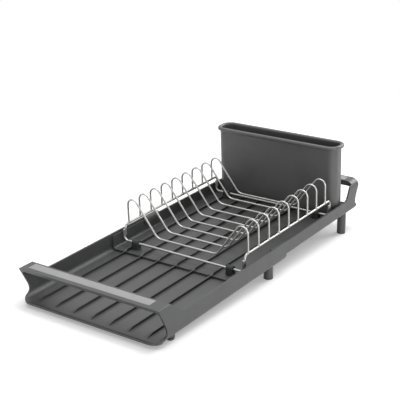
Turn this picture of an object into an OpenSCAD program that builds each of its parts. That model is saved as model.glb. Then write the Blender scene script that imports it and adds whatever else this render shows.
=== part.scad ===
/* [Trays] */
// Overall width of the front tray
tray_w = 226; // [215:1:250]
// Length of the front tray along its slope, lip to rear edge
front_len = 288.5; // [284:0.5:300]
// Length of the rear tray along its slope, front edge to rear wall
rear_len = 317; // [314:1:340]
// Length in which the two trays overlap when pulled right out
tray_overlap = 106; // [98:1:112]
// Length that the trays slide together
slide_travel = 150; // [120:1:152]
// Slope of the trays down to the spout, in degrees
tilt = 2.6; // [1.5:0.1:4]
// Height of the spout's floor surface above the counter
spout_h = 8.2; // [8:0.1:14]
// Height of the side walls above the front tray's floor
wall_h = 24; // [22:0.5:27]
// Thickness of the front tray's floor and walls
front_t = 2.5; // [2:0.1:3]
// Thickness of the rear tray's floor and walls
rear_t = 2.4; // [2:0.1:2.8]
// Radius outside the long lower edges of the front tray
edge_r = 7; // [6:0.5:9]
// Radius inside the long lower edges of the front tray
floor_r = 6.5; // [5.5:0.5:8]
// Gap between the nested trays, all round
nest_gap = 0.4; // [0.3:0.05:0.6]
// Radius of the lip's two front corners, seen from above
lip_r = 10; // [8:0.5:18]
// Radius of the drip bead along the lip
bead_r = 2; // [1.5:0.05:2]
// Height of the low wall across the rear tray's end, above the front floor
end_wall_z = 6; // [5.5:0.1:12]

/* [Ribs] */
// Number of ribs along the floor
rib_n = 7; // [5:2:7]
// Distance from the front tray's inner wall to the middle of the outermost rib
rib_side = 22; // [18:0.5:30]
// Height of a rib
rib_h = 2.6; // [1.2:0.1:2.6]
// Width of a rib's foot on the front tray
rib_w = 4; // [3.5:0.1:5]
// Draft from a rib's foot to its top, each side
rib_draft = 0.8; // [0.4:0.1:1.2]
// Distance from the lip to the front of the ribs
rib_start = 6.5; // [5:0.5:30]
// Length over which a rib rises from the floor at its front
rib_nose = 13; // [6:0.5:20]

/* [Handles] */
// Distance from the lip to the front of the front handle's top
handle_y = 4.5; // [3.5:0.5:7]
// Depth of the front handle, front to back
handle_d = 23; // [20:0.5:24]
// Height of the front handle's top above the front floor
handle_h = 43.3; // [41:0.1:50]
// Depth of the rear handle, front to back
rear_handle_d = 18.5; // [17.5:0.5:20]
// Height of the rear handle's top above the front floor
rear_handle_h = 46.8; // [44:0.1:54]
// Distance that the rear handle stands out behind the rear tray
handle_reach = 6.5; // [4:0.5:9]
// Thickness of the front handle's bar
bar_t = 5; // [4.5:0.1:6.5]
// Height of the rear handle's bar, which is hollow below
rear_bar_t = 8; // [6:0.1:9]
// Width of the uprights under the rear handle's bar
post_w = 4.8; // [3:0.1:6]
// Radius of the front handle's upper outer corners
handle_r = 2.5; // [1.5:0.5:5]
// Radius inside the front handle's upper corners
grip_r = 5; // [4:0.5:12]
// Radius of the rear handle's upper outer corners
rear_handle_r = 6.5; // [4:0.5:7]
// Radius inside the rear handle's upper corners
rear_grip_r = 4; // [3:0.5:14]
// Length of the front handle's swept gusset down to the wall
gusset_l = 33; // [26:0.5:40]
// Length of the rear handle's swept gusset down to the wall
rear_gusset_l = 25; // [20:0.5:26]
// Width of the inlay strips
inlay_w = 14; // [12:0.5:14]
// Distance from the left side of the front tray to the left end of the inlays
inlay_left = 10.5; // [10.5:0.5:25]
// Distance from the right side of the front tray to the right end of the inlays
inlay_right = 19.5; // [10.5:0.5:25]
// Thickness of the inlay strips
inlay_t = 1; // [0.8:0.1:1.5]

/* [Feet] */
// Distance from the lip to the front feet
front_foot_y = 35.5; // [32:0.5:55]
// Distance from the front tray's rear edge to the middle feet
mid_foot_inset = 32; // [22:0.5:45]
// Distance from the rear tray's end to its legs
leg_inset = 34; // [30:0.5:48]
// Distance from the side of the front tray to the centre of its feet
foot_side = 9.2; // [9:0.1:12]
// Distance from the side of the rear tray to the centre of its legs
leg_side = 6.8; // [6.8:0.1:10]
// Diameter of the front feet at their bottom
front_foot_d = 10; // [9.4:0.1:11]
// Diameter of the front feet where they meet their bosses
front_foot_top_d = 11.5; // [10.5:0.1:12]
// Diameter of the middle feet at their bottom
mid_foot_d = 13.2; // [12.8:0.1:14]
// Diameter of the middle feet where they meet their bosses
mid_foot_top_d = 12.3; // [11.6:0.1:12.6]
// Diameter of the rear legs
leg_d = 13; // [12.4:0.1:13.4]
// Radius of the front feet's lower edges
foot_r = 1.4; // [0.8:0.1:1.6]
// Height of the moulded bosses that the feet plug into
boss_h = 3; // [2.6:0.1:3.4]
// Diameter of the spigots on the feet
spigot_d = 7; // [6:0.1:8]
// Thickness of the rubber pads
pad_t = 2; // [1.5:0.1:2.5]

/* [Wire rack] */
// Distance from the rear tray's inner wall to the middle of a side rail
rack_side = 6.7; // [5.5:0.1:10]
// Distance from the rear tray's front edge to the rails' front end
rack_inset = 20.5; // [18:0.5:26]
// Diameter of the frame wires
rail_d = 3.3; // [3:0.1:3.6]
// Height of the side rails above the front floor
rail_z = 34.2; // [32:0.1:38]
// Height of the low cross wires above the front floor
low_z = 11.5; // [10.5:0.1:13]
// Inside radius of the bends in the frame wires
rail_bend = 5; // [3:0.5:6]
// Number of plate dividers
divider_n = 9; // [9:1:9]
// Distance between plate dividers
divider_pitch = 25.7; // [24:0.1:26]
// Diameter of the plate divider wires
divider_d = 2.8; // [2.4:0.1:3.2]
// Distance from the rails' front end to the first divider
divider_lead = 8.2; // [7.6:0.1:10]
// Distance from the last divider to the rails' rear end
divider_tail = 14.5; // [10:0.5:16]
// Top of the plate dividers above the front floor
divider_top = 71.5; // [66:0.5:80]
// Centre of the dividers' low run above the front floor
divider_low = 20.5; // [18.5:0.5:24]
// Run of the dividers' inner legs, against the rise below
divider_run = 3; // [2.4:0.1:3.2]
// Rise of the dividers' inner legs over that run
divider_rise = 4; // [4:0.1:5]
// Centre radius of the bend at a divider's top
arch_r = 9; // [6:0.5:11]
// Centre radius of the bend at a divider's low run
dip_r = 14; // [8:0.5:18]
// Gap between a rack foot and the outermost rib
rack_foot_gap = 0.3; // [0.3:0.1:4]
// Length of a rack foot along its wire
rack_foot_l = 10; // [8:0.5:11]
// Thickness of the rubber round the wire
rack_foot_t = 2.8; // [2:0.1:3.2]

/* [Cutlery caddy] */
// Gap from the rack's rear end to the caddy's front wall
caddy_gap = 8.2; // [6:0.1:9]
// Distance from the rear tray's inner wall to the side of the caddy
caddy_side = 4.2; // [4.2:0.1:15]
// Depth of the caddy, front to back
caddy_d = 30; // [27:0.5:31]
// Height of the caddy's rim above the front floor
caddy_top = 114; // [100:1:125]
// Thickness of the caddy's walls
caddy_t = 2; // [1.6:0.1:2.4]
// Radius of the caddy's upright corners
caddy_r = 12; // [9:0.5:13]
// Radius of the caddy's rolled rim
caddy_rim_r = 3; // [2.4:0.1:3]
// Number of pockets in the caddy
pocket_n = 3; // [2:1:4]
// Number of drain slots in each pocket
slot_n = 4; // [2:1:5]
// Width of a drain slot
slot_w = 4; // [3:0.1:5]

/* [Hidden] */

$fn = 48;
left = -1;
right = 1;

// Overrun of a cut past the face that it opens
cut = 1;
// Depth that one part of a moulding is sunk into another
sink = 0.4;
// Gap under what rests in a tray
seat_gap = 0.2;
// Gap left by the weld between two wires
weld_gap = 0.02;
// Gap round an inlay in its recess
inlay_gap = 0.1;
// Gap round a spigot in its bore and round a wire in its rubber foot
fit_gap = 0.05;

tray_color = "#5d6062";
rubber_color = "#2e3032";
inlay_color = "#b9bcbc";
wire_color = "#cfd1d2";

// Sections of the two nested trays
half_w = tray_w / 2;
front_in = half_w - front_t;
rear_half = front_in - nest_gap;
rear_low = nest_gap;
rear_edge_r = floor_r - nest_gap;
rear_in = rear_half - rear_t;
rear_in_r = rear_edge_r - rear_t;
rear_floor = rear_low + rear_t;
post_in = rear_half - post_w;
rear_top = wall_h - front_t;
rear_rib_w = rib_w + rear_t;
rear_rib_z = rear_floor + rib_h;
rib_pitch = 2 * (front_in - rib_side) / (rib_n - 1);
inlay_l = tray_w - inlay_left - inlay_right;
rack_w = 2 * (rear_in - rack_side);
rack_foot_x = front_in - rib_side - rear_rib_w / 2 - rack_foot_gap - rack_foot_l / 2;
caddy_w = 2 * (rear_in - caddy_side);

// Stations along the slope, from the lip
handle_back = handle_y + handle_d;
gusset_end = handle_back + gusset_l;
rear_front_y = front_len - tray_overlap;
rear_end_y = rear_front_y + rear_len;
total_y = rear_end_y + handle_reach;
rear_handle_y = total_y - rear_handle_d;
rear_gusset_y = rear_handle_y - rear_gusset_l;
rail_y0 = rear_front_y + rack_inset;
first_divider_y = rail_y0 + divider_lead;
rail_y1 = first_divider_y + (divider_n - 1) * divider_pitch + divider_tail;
front_wire_y = rail_y0 - rail_d - weld_gap;
rear_wire_y = rail_y1 - rail_d - weld_gap;
caddy_y = rail_y1 + caddy_gap;
mid_foot_y = front_len - mid_foot_inset;
leg_y = rear_end_y - leg_inset;
front_foot_x = half_w - foot_side;
leg_x = rear_half - leg_side;

// The origin is on the counter below the middle of the whole rack
mid_y = (total_y * cos(tilt) - (rear_handle_h - rear_bar_t) * sin(tilt)
    + bead_r * (cos(tilt) + sin(tilt) - 1)) / 2;

// Waist of the front edge of the front tray's walls, and the foot of that edge
waist_y = 19;
waist_z = 8.5;
toe_y = 2;
toe_z = 1;
// Waist and heel of the rear edge of the rear tray's walls
rear_waist_in = 4.2;
rear_waist_z = 12;
// Radius of the front tray's lower rear corner, seen from the side
heel_r = 8.5;
// End of the front tray's ribs, short of that corner
rib_end = front_len - heel_r - rib_w;
// Radius of the rear tray's upper front corners, seen from the side
cheek_r = 7;
// Bevel on the front end of the rear tray's floor
ramp_l = 5;

// Lugs on the front tray that hook over the rear tray's rims
lug_l = 33;
lug_t = 2.1;
lug_drop = 9;
lug_y = front_len - lug_l;
lug_in = rear_in - nest_gap;
// Stops inside the rear tray's walls that meet the lugs at each end of the travel
stop_l = 2.5;
stop_t = 1.5;
stop_drop = 6;
stop_gap = 0.2;

// Thickness of the rear bar's top and of its two long rims
bar_top_t = 4;
bar_rim_t = 3;

spigot_l = 2.4;
spigot_spare = 0.3;
plug_l = 5;
// Radius of the rubber pads' lower edges
pad_r = 0.45 * pad_t;

wall_shares = [0.58, 0.45, 0.2];
toe_shares = [0.4, 0.75, 0.05];
rear_shares = [0.45, 0.62];
gusset_shares = [0.4, 0.62, 0.7];

// Points of a cubic curve from a to d
function curve(a, b, c, d, n = 10) = [for (i = [0 : n]) let(t = i / n, u = 1 - t)
    a * u * u * u + b * 3 * u * u * t + c * 3 * u * t * t + d * t * t * t];

// S-shaped curve from a to b that leaves and arrives level
function sweep(a, b) = curve(a, [(a.x + b.x) / 2, a.y], [(a.x + b.x) / 2, b.y], b);

// Hollow curve from a to b that leaves on a slope and arrives level
function gusset_edge(a, b) = curve(a,
    [a.x + (b.x - a.x) * gusset_shares[0], a.y + (b.y - a.y) * gusset_shares[1]],
    [a.x + (b.x - a.x) * gusset_shares[2], b.y], b);

function unit(v) = v / norm(v);

// Height above the counter of a place on the slope
function rise(y, z) = spout_h + y * sin(tilt) + z * cos(tilt);

module on_slope() {
    translate([0, -mid_y, spout_h]) rotate([tilt, 0, 0]) children();
}

// Upright axis at a place on the slope
module upright(x, y, z) {
    translate([x, y, z]) rotate([-tilt, 0, 0]) children();
}

// Extrudes an outline drawn across the tray from y0 to y1
module along_y(y0, y1) {
    translate([0, y1, 0]) rotate([90, 0, 0]) linear_extrude(y1 - y0) children();
}

// Extrudes an outline drawn along the tray across a width
module along_x(w) {
    rotate([90, 0, 90]) linear_extrude(w, center = true) children();
}

// Section across the tray, with its lower and upper corners round where a radius is given
module section(half, low, high, r_low = 0, r_high = 0) {
    translate([-half, low + r_low]) square([2 * half, high - low - r_low - r_high]);
    if (r_low > 0) {
        translate([-half + r_low, low]) square([2 * (half - r_low), r_low]);
        for (s = [left, right]) translate([s * (half - r_low), low + r_low]) circle(r = r_low);
    }
    if (r_high > 0) {
        translate([-half + r_high, high - r_high]) square([2 * (half - r_high), r_high]);
        for (s = [left, right]) translate([s * (half - r_high), high - r_high]) circle(r = r_high);
    }
}

// Row of ribs standing on a floor at z, with grow added all round
module rib_row(w, z, grow = 0) {
    foot = w / 2 + grow;
    top = foot - rib_draft;
    for (i = [0 : rib_n - 1])
        translate([(i - (rib_n - 1) / 2) * rib_pitch, z])
            polygon([[-foot, -sink], [-foot, 0], [-top, rib_h + grow],
                     [top, rib_h + grow], [foot, 0], [foot, -sink]]);
}

// Moulded boss that runs down from the underside of a tray
module boss(x, y, z, d) {
    upright(x, y, z) translate([0, 0, -boss_h]) cylinder(h = boss_h + edge_r, d = d);
}

module boss_bore(x, y, z) {
    upright(x, y, z) translate([0, 0, -boss_h - cut])
        cylinder(h = spigot_l + spigot_spare + cut, d = spigot_d + 2 * fit_gap);
}

// Recess for an inlay, in the top of a handle bar
module inlay_recess(y, z) {
    translate([inlay_left - half_w - inlay_gap, y - inlay_gap, z - inlay_t])
        cube([inlay_l + 2 * inlay_gap, inlay_w + 2 * inlay_gap, inlay_t + cut]);
}

// Gap in front of the hourglass edge of the front tray's walls
module front_edge_gap() {
    grip = [handle_y, handle_h];
    waist = [waist_y, waist_z];
    toe = [toe_y, toe_z];
    upper = curve(grip,
        [grip.x + (waist.x - grip.x) * wall_shares[0], waist.y + (grip.y - waist.y) * wall_shares[1]],
        [waist.x, waist.y + (grip.y - waist.y) * wall_shares[2]], waist);
    lower = curve(waist,
        [waist.x, toe.y + (waist.y - toe.y) * toe_shares[0]],
        [toe.x + (waist.x - toe.x) * toe_shares[1], toe.y + (waist.y - toe.y) * toe_shares[2]], toe);
    polygon(concat(upper, lower, [[-cut, toe.y], [-cut, handle_h + cut], [grip.x, handle_h + cut]]));
}

// Gap behind the rear edge of the rear tray's walls
module rear_edge_gap() {
    grip = [total_y, rear_handle_h - rear_bar_t];
    waist = [rear_end_y - rear_waist_in, rear_waist_z];
    heel = [rear_end_y, end_wall_z];
    upper = curve(waist,
        [waist.x, waist.y + (grip.y - waist.y) * rear_shares[0]],
        [waist.x + (grip.x - waist.x) * rear_shares[1], waist.y + (grip.y - waist.y) * rear_shares[1]],
        grip);
    polygon(concat([[heel.x, rear_low - cut], heel], upper,
        [[total_y + cut, grip.y], [total_y + cut, rear_low - cut]]));
}

// Hooked lug over the rear tray's rim, for the right-hand wall
module lug_outline() {
    tip = lug_in - lug_t;
    hook = curve([front_in, wall_h], [lug_in, wall_h], [tip, rear_top], [tip, wall_h - lug_drop]);
    polygon(concat([[front_in + sink, wall_h]], hook,
        [[lug_in, wall_h - lug_drop], [lug_in, rear_top + nest_gap],
         [front_in + sink, rear_top + nest_gap]]));
}

// Front tray before it is hollowed, with its bosses
module front_block() {
    intersection() {
        union() {
            along_y(bead_r, front_len) section(half_w, -front_t, wall_h, edge_r);
            along_y(bead_r, gusset_end) section(half_w, -front_t, handle_h, edge_r, handle_r);
            translate([-half_w, bead_r, -bead_r]) rotate([0, 90, 0])
                cylinder(h = tray_w, r = bead_r);
        }
        union() {
            translate([0, 0, waist_z - handle_h]) linear_extrude(handle_h) lip_plan();
            translate([-half_w, 0, waist_z]) cube([tray_w, front_len, handle_h]);
        }
    }
    for (s = [left, right]) {
        boss(s * front_foot_x, front_foot_y, -front_t, front_foot_top_d);
        boss(s * front_foot_x, mid_foot_y, -front_t, mid_foot_top_d);
    }
}

module front_tray() {
    color(tray_color) on_slope() difference() {
        union() {
            difference() {
                front_block();
                along_y(-cut, handle_back + cut)
                    section(front_in, 0, handle_h - bar_t, floor_r, grip_r);
                along_y(handle_back, front_len + cut)
                    section(front_in, 0, handle_h + cut, floor_r);
            }
            intersection() {
                along_y(rib_start, rib_end) rib_row(rib_w, 0);
                along_x(tray_w) polygon([[rib_start, -sink], [rib_start, 0],
                    [rib_start + rib_nose, rib_h], [rib_end, rib_h], [rib_end, -sink]]);
            }
            along_y(lug_y, front_len) lug_outline();
            mirror([1, 0, 0]) along_y(lug_y, front_len) lug_outline();
        }
        along_x(tray_w + cut) front_edge_gap();
        along_x(tray_w + cut) polygon(concat(
            gusset_edge([handle_back, handle_h], [gusset_end, wall_h]),
            [[gusset_end + cut, wall_h], [gusset_end + cut, handle_h + cut],
             [handle_back, handle_h + cut]]));
        along_x(tray_w + cut) translate([front_len - heel_r, -front_t]) difference() {
            translate([0, -cut]) square([heel_r + cut, heel_r + cut]);
            translate([0, heel_r]) circle(r = heel_r);
        }
        inlay_recess(handle_back - (handle_d - inlay_w) / 4 - inlay_w, handle_h);
        for (s = [left, right], y = [front_foot_y, mid_foot_y])
            boss_bore(s * front_foot_x, y, -front_t);
    }
}

// Outline of the front tray from above, with round front corners
module lip_plan() {
    translate([-half_w, lip_r]) square([tray_w, front_len]);
    translate([-half_w + lip_r, 0]) square([tray_w - 2 * lip_r, lip_r]);
    for (s = [left, right]) translate([s * (half_w - lip_r), lip_r]) circle(r = lip_r);
}

module rear_tray() {
    color(tray_color) on_slope() {
        difference() {
            union() {
                along_y(rear_front_y, rear_end_y) section(rear_half, rear_low, rear_top, rear_edge_r);
                along_y(rear_gusset_y, total_y)
                    section(rear_half, rear_low, rear_handle_h, rear_edge_r, rear_handle_r);
                for (s = [left, right]) boss(s * leg_x, leg_y, rear_low, leg_d);
            }
            along_y(rear_front_y - cut, rear_handle_y)
                section(rear_in, rear_floor, rear_top + cut, rear_in_r);
            along_y(rear_handle_y - cut, rear_end_y - rear_t)
                section(post_in, rear_floor, rear_top + cut, rear_in_r);
            along_y(rear_gusset_y - cut, rear_handle_y)
                section(rear_in, end_wall_z, rear_handle_h + cut);
            along_y(rear_handle_y - cut, total_y + cut)
                section(post_in, end_wall_z, rear_handle_h - rear_bar_t, 0, rear_grip_r);
            along_y(rear_handle_y + bar_rim_t, total_y - bar_rim_t)
                section(post_in - rear_grip_r, end_wall_z, rear_handle_h - bar_top_t);
            along_x(tray_w + cut) rear_edge_gap();
            along_x(tray_w + cut) polygon(concat(
                sweep([rear_handle_y, rear_handle_h], [rear_gusset_y, rear_top]),
                [[rear_gusset_y - cut, rear_top], [rear_gusset_y - cut, rear_handle_h + cut],
                 [rear_handle_y, rear_handle_h + cut]]));
            along_x(tray_w + cut) translate([rear_front_y, rear_top - cheek_r]) difference() {
                translate([-cut, 0]) square([cheek_r + cut, cheek_r + cut]);
                translate([cheek_r, 0]) circle(r = cheek_r);
            }
            along_y(rear_front_y - cut, rear_end_y + cut) rib_row(rib_w, 0, nest_gap);
            inlay_recess(total_y - (rear_handle_d + inlay_w) / 2, rear_handle_h);
            for (s = [left, right]) boss_bore(s * leg_x, leg_y, rear_low);
        }
        intersection() {
            along_y(rear_front_y, rear_end_y - rear_t / 2) difference() {
                rib_row(rear_rib_w, rear_floor);
                rib_row(rib_w, 0, nest_gap);
            }
            along_x(tray_w) polygon([[rear_front_y, rear_low], [rear_front_y, rear_floor],
                [rear_front_y + ramp_l, rear_rib_z], [rear_end_y, rear_rib_z], [rear_end_y, rear_low]]);
        }
        for (s = [left, right], y = [lug_y - stop_gap - stop_l, front_len + slide_travel + stop_gap])
            translate([s * (rear_in + sink - (stop_t + sink) / 2), y + stop_l / 2,
                       rear_top - stop_drop / 2])
                cube([stop_t + sink, stop_l, stop_drop], center = true);
    }
}

module front_handle_inlay() {
    color(inlay_color) on_slope()
        translate([inlay_left - half_w, handle_back - (handle_d - inlay_w) / 4 - inlay_w, handle_h - inlay_t])
            cube([inlay_l, inlay_w, inlay_t]);
}

module rear_handle_inlay() {
    color(inlay_color) on_slope()
        translate([inlay_left - half_w, total_y - (rear_handle_d + inlay_w) / 2, rear_handle_h - inlay_t])
            cube([inlay_l, inlay_w, inlay_t]);
}

// Turned foot of height h, its lower edge rounded to a radius r
module stud(h, d_low, d_top, r) {
    ring = d_low / 2 - r;
    cylinder(h = r + sink, r = ring);
    translate([0, 0, r]) cylinder(h = h - r, d1 = d_low, d2 = d_top);
    translate([0, 0, r]) rotate_extrude() translate([ring, 0]) circle(r = r);
}

// Rubber foot straight under the front tray
module front_foot(side) {
    h = rise(front_foot_y, -front_t);
    color(rubber_color) on_slope() upright(side * front_foot_x, front_foot_y, -front_t) {
        translate([0, 0, -h]) stud(h - boss_h, front_foot_d, front_foot_top_d, foot_r);
        translate([0, 0, -boss_h - sink]) cylinder(h = spigot_l + sink, d = spigot_d);
    }
}

// Tapered foot under the front tray's rear end
module mid_foot(side) {
    h = rise(mid_foot_y, -front_t);
    color(tray_color) on_slope() upright(side * front_foot_x, mid_foot_y, -front_t) difference() {
        union() {
            translate([0, 0, pad_t - h])
                cylinder(h = h - boss_h - pad_t, d1 = mid_foot_d, d2 = mid_foot_top_d);
            translate([0, 0, -boss_h - sink]) cylinder(h = spigot_l + sink, d = spigot_d);
        }
        translate([0, 0, pad_t - h - cut]) cylinder(h = plug_l + cut, d = spigot_d + 2 * fit_gap);
    }
}

// Straight leg under the rear tray
module rear_leg(side) {
    h = rise(leg_y, rear_low);
    color(tray_color) on_slope() upright(side * leg_x, leg_y, rear_low) difference() {
        union() {
            translate([0, 0, pad_t - h]) cylinder(h = h - boss_h - pad_t, d = leg_d);
            translate([0, 0, -boss_h - sink]) cylinder(h = spigot_l + sink, d = spigot_d);
        }
        translate([0, 0, pad_t - h - cut]) cylinder(h = plug_l + cut, d = spigot_d + 2 * fit_gap);
    }
}

// Rubber pad with a plug that goes up into a foot of diameter d
module pad(x, y, z, d) {
    h = rise(y, z);
    color(rubber_color) on_slope() upright(x, y, z) {
        translate([0, 0, -h]) stud(pad_t, d, d, pad_r);
        translate([0, 0, pad_t - h - sink]) cylinder(h = plug_l - spigot_spare + sink, d = spigot_d);
    }
}

// Straight wire from a to b, which runs in the direction way
module rod(a, b, way, d) {
    translate([a.x, a.y, 0])
        multmatrix([[way.x, -way.y, 0, 0], [way.y, way.x, 0, 0], [0, 0, 1, 0]])
            rotate([0, 90, 0]) cylinder(h = norm(b - a), d = d);
}

// Bent wire round a centre, between two directions from it
module elbow(centre, from, to, bend, d) {
    reach = 4 * (bend + d);
    translate([centre.x, centre.y, 0]) intersection() {
        rotate_extrude() translate([bend, 0]) circle(d = d);
        linear_extrude(2 * d, center = true)
            polygon([[0, 0], from * reach, unit(from + to) * reach, to * reach]);
    }
}

// Wire through points in one plane, bent to a centre radius at each inner point
module bent_wire(points, bends, d) {
    n = len(points);
    ways = [for (i = [0 : n - 2]) unit(points[i + 1] - points[i])];
    bent_path(points, ways, bends, d);
}

// The same with the directions of its straight runs given
module bent_path(points, ways, bends, d) {
    n = len(points);
    crosses = [for (i = [0 : n - 3]) ways[i].x * ways[i + 1].y - ways[i].y * ways[i + 1].x];
    trims = [for (i = [0 : n - 3]) bends[i] * abs(crosses[i]) / (1 + ways[i] * ways[i + 1])];
    for (i = [0 : n - 2])
        rod(points[i] + ways[i] * (i == 0 ? 0 : trims[i - 1]),
            points[i + 1] - ways[i] * (i == n - 2 ? 0 : trims[i]), ways[i], d);
    for (i = [0 : n - 3]) {
        from = [ways[i].y, -ways[i].x] * sign(crosses[i]);
        to = [ways[i + 1].y, -ways[i + 1].x] * sign(crosses[i]);
        elbow(points[i + 1] - ways[i] * trims[i] - from * bends[i], from, to, bends[i], d);
    }
}

frame_bend = rail_bend + rail_d / 2;
// Heights at which the turned ends of the frame wires stop
rail_end_z = low_z + rail_d + frame_bend / 2;
wire_end_z = rail_z - frame_bend;

module rack_rail(side) {
    color(wire_color) on_slope() translate([side * rack_w / 2, 0, 0]) rotate([90, 0, 90])
        bent_wire([[rail_y0, rail_end_z], [rail_y0, rail_z], [rail_y1, rail_z], [rail_y1, rail_end_z]],
            [frame_bend, frame_bend], rail_d);
}

module cross_wire(y) {
    color(wire_color) on_slope() translate([0, y, 0]) rotate([90, 0, 0])
        bent_wire([[-rack_w / 2, wire_end_z], [-rack_w / 2, low_z], [rack_w / 2, low_z],
            [rack_w / 2, wire_end_z]], [frame_bend, frame_bend], rail_d);
}

// One plate divider, standing on the two rails
module plate_divider(i) {
    y = first_divider_y + (i - 1) * divider_pitch;
    x = rack_w / 2;
    top = divider_top - divider_d / 2;
    down = unit([divider_run, -divider_rise]);
    peak = top - arch_r + arch_r * down.x / (1 + down.y);
    dip = x - (peak - divider_low) * divider_run / divider_rise;
    color(wire_color) on_slope() difference() {
        translate([0, y, 0]) rotate([90, 0, 0])
            bent_path([[-x, rail_z], [-x, peak], [-dip, divider_low], [dip, divider_low],
                [x, peak], [x, rail_z]],
                [[0, 1], down, [1, 0], [down.x, -down.y], [0, -1]],
                [arch_r, dip_r, dip_r, arch_r], divider_d);
        for (s = [left, right]) along_y(y - rail_d, y + rail_d)
            translate([s * x, rail_z]) circle(d = rail_d + 2 * weld_gap);
    }
}

// Rubber foot round a low cross wire, standing on the rear tray's floor
module rack_foot(side, y) {
    r = rail_d / 2 + rack_foot_t;
    color(rubber_color) on_slope() translate([side * rack_foot_x, y, 0]) along_x(rack_foot_l)
        difference() {
            union() {
                translate([0, low_z]) circle(r = r);
                translate([-r, rear_floor + seat_gap]) square([2 * r, low_z - rear_floor - seat_gap]);
            }
            translate([0, low_z]) circle(d = rail_d + 2 * fit_gap);
        }
}

// Rectangle from above with round corners
module round_plan(w, d, r) {
    translate([-w / 2 + r, 0]) square([w - 2 * r, d]);
    translate([-w / 2, r]) square([w, d - 2 * r]);
    for (s = [left, right], y = [r, d - r]) translate([s * (w / 2 - r), y]) circle(r = r);
}

// Round bar bent into a closed rectangle with round corners
module ring_bar(w, d, r, bar_r) {
    for (y = [0, d]) translate([-w / 2 + r, y, 0]) rotate([0, 90, 0])
        cylinder(h = w - 2 * r, r = bar_r);
    for (s = [left, right]) translate([s * w / 2, r, 0]) rotate([-90, 0, 0])
        cylinder(h = d - 2 * r, r = bar_r);
    for (s = [left, right], t = [left, right])
        translate([s * (w / 2 - r), t == right ? d - r : r, 0])
            rotate([0, 0, s == right ? (t == right ? 0 : -90) : (t == right ? 90 : 180)])
                rotate_extrude(angle = 90) translate([r, 0]) circle(r = bar_r);
}

module cutlery_caddy() {
    low = rear_rib_z + seat_gap;
    in_w = caddy_w - 2 * caddy_t;
    in_d = caddy_d - 2 * caddy_t;
    pocket_w = (in_w - (pocket_n - 1) * caddy_t) / pocket_n;
    rim_out = caddy_rim_r - caddy_t;
    slot_l = in_d - 2 * caddy_r + slot_w;
    wall_drop = 5 * caddy_rim_r;
    color(tray_color) on_slope() translate([0, caddy_y, 0]) {
        difference() {
            translate([0, 0, low]) linear_extrude(caddy_top - caddy_rim_r - low)
                round_plan(caddy_w, caddy_d, caddy_r);
            translate([0, caddy_t, low + caddy_t]) linear_extrude(caddy_top)
                round_plan(in_w, in_d, caddy_r - caddy_t);
            for (i = [0 : pocket_n - 1], k = [1 : slot_n])
                translate([-in_w / 2 + i * (pocket_w + caddy_t) + k * pocket_w / (slot_n + 1),
                           caddy_d / 2, low - cut])
                    linear_extrude(caddy_t + 2 * cut) drain_slot(slot_l);
        }
        translate([0, -rim_out, caddy_top - caddy_rim_r])
            ring_bar(caddy_w + 2 * rim_out, caddy_d + 2 * rim_out, caddy_r + rim_out, caddy_rim_r);
        for (i = [1 : pocket_n - 1])
            translate([-in_w / 2 + i * (pocket_w + caddy_t) - caddy_t, caddy_t - sink, low + caddy_t - sink])
                cube([caddy_t, in_d + 2 * sink, caddy_top - wall_drop - low]);
    }
}

module drain_slot(l) {
    square([slot_w, l], center = true);
    for (s = [left, right]) translate([0, s * l / 2]) circle(d = slot_w);
}

front_tray();
front_handle_inlay();
front_foot(left);  // front_foot_left
front_foot(right);  // front_foot_right
mid_foot(left);  // mid_foot_left
mid_foot(right);  // mid_foot_right
pad(-front_foot_x, mid_foot_y, -front_t, mid_foot_d);  // mid_foot_pad_left
pad(front_foot_x, mid_foot_y, -front_t, mid_foot_d);  // mid_foot_pad_right
rear_tray();
rear_handle_inlay();
rear_leg(left);  // rear_leg_left
rear_leg(right);  // rear_leg_right
pad(-leg_x, leg_y, rear_low, leg_d);  // rear_leg_pad_left
pad(leg_x, leg_y, rear_low, leg_d);  // rear_leg_pad_right
rack_rail(left);  // rack_rail_left
rack_rail(right);  // rack_rail_right
cross_wire(front_wire_y);  // rack_front_wire
cross_wire(rear_wire_y);  // rack_rear_wire
for (i = [1 : divider_n])
    plate_divider(i);
rack_foot(left, front_wire_y);  // rack_foot_front_left
rack_foot(right, front_wire_y);  // rack_foot_front_right
rack_foot(left, rear_wire_y);  // rack_foot_rear_left
rack_foot(right, rear_wire_y);  // rack_foot_rear_right
cutlery_caddy();
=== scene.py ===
"""Finishes, welds and studio of the expandable dish rack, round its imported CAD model."""

import logging
import math
from dataclasses import dataclass
from enum import Enum

import bmesh
import bpy
from mathutils import Matrix, Vector


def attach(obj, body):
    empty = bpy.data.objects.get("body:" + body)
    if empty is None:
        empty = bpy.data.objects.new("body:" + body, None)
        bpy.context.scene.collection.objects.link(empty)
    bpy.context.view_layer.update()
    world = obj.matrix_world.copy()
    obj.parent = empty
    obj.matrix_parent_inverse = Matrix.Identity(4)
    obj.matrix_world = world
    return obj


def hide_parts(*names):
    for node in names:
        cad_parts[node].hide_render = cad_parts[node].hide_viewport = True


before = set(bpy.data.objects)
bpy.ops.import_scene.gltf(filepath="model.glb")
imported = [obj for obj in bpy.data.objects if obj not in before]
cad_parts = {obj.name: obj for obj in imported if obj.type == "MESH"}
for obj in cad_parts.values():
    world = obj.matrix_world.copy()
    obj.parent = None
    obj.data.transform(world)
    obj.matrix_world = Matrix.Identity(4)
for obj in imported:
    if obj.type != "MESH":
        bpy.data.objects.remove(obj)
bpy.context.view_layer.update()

LOG = logging.getLogger("dish_rack")
Colour = tuple[float, float, float]
Point = tuple[float, float, float]
Span = tuple[float, float]
Socket = bpy.types.NodeSocket

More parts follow.
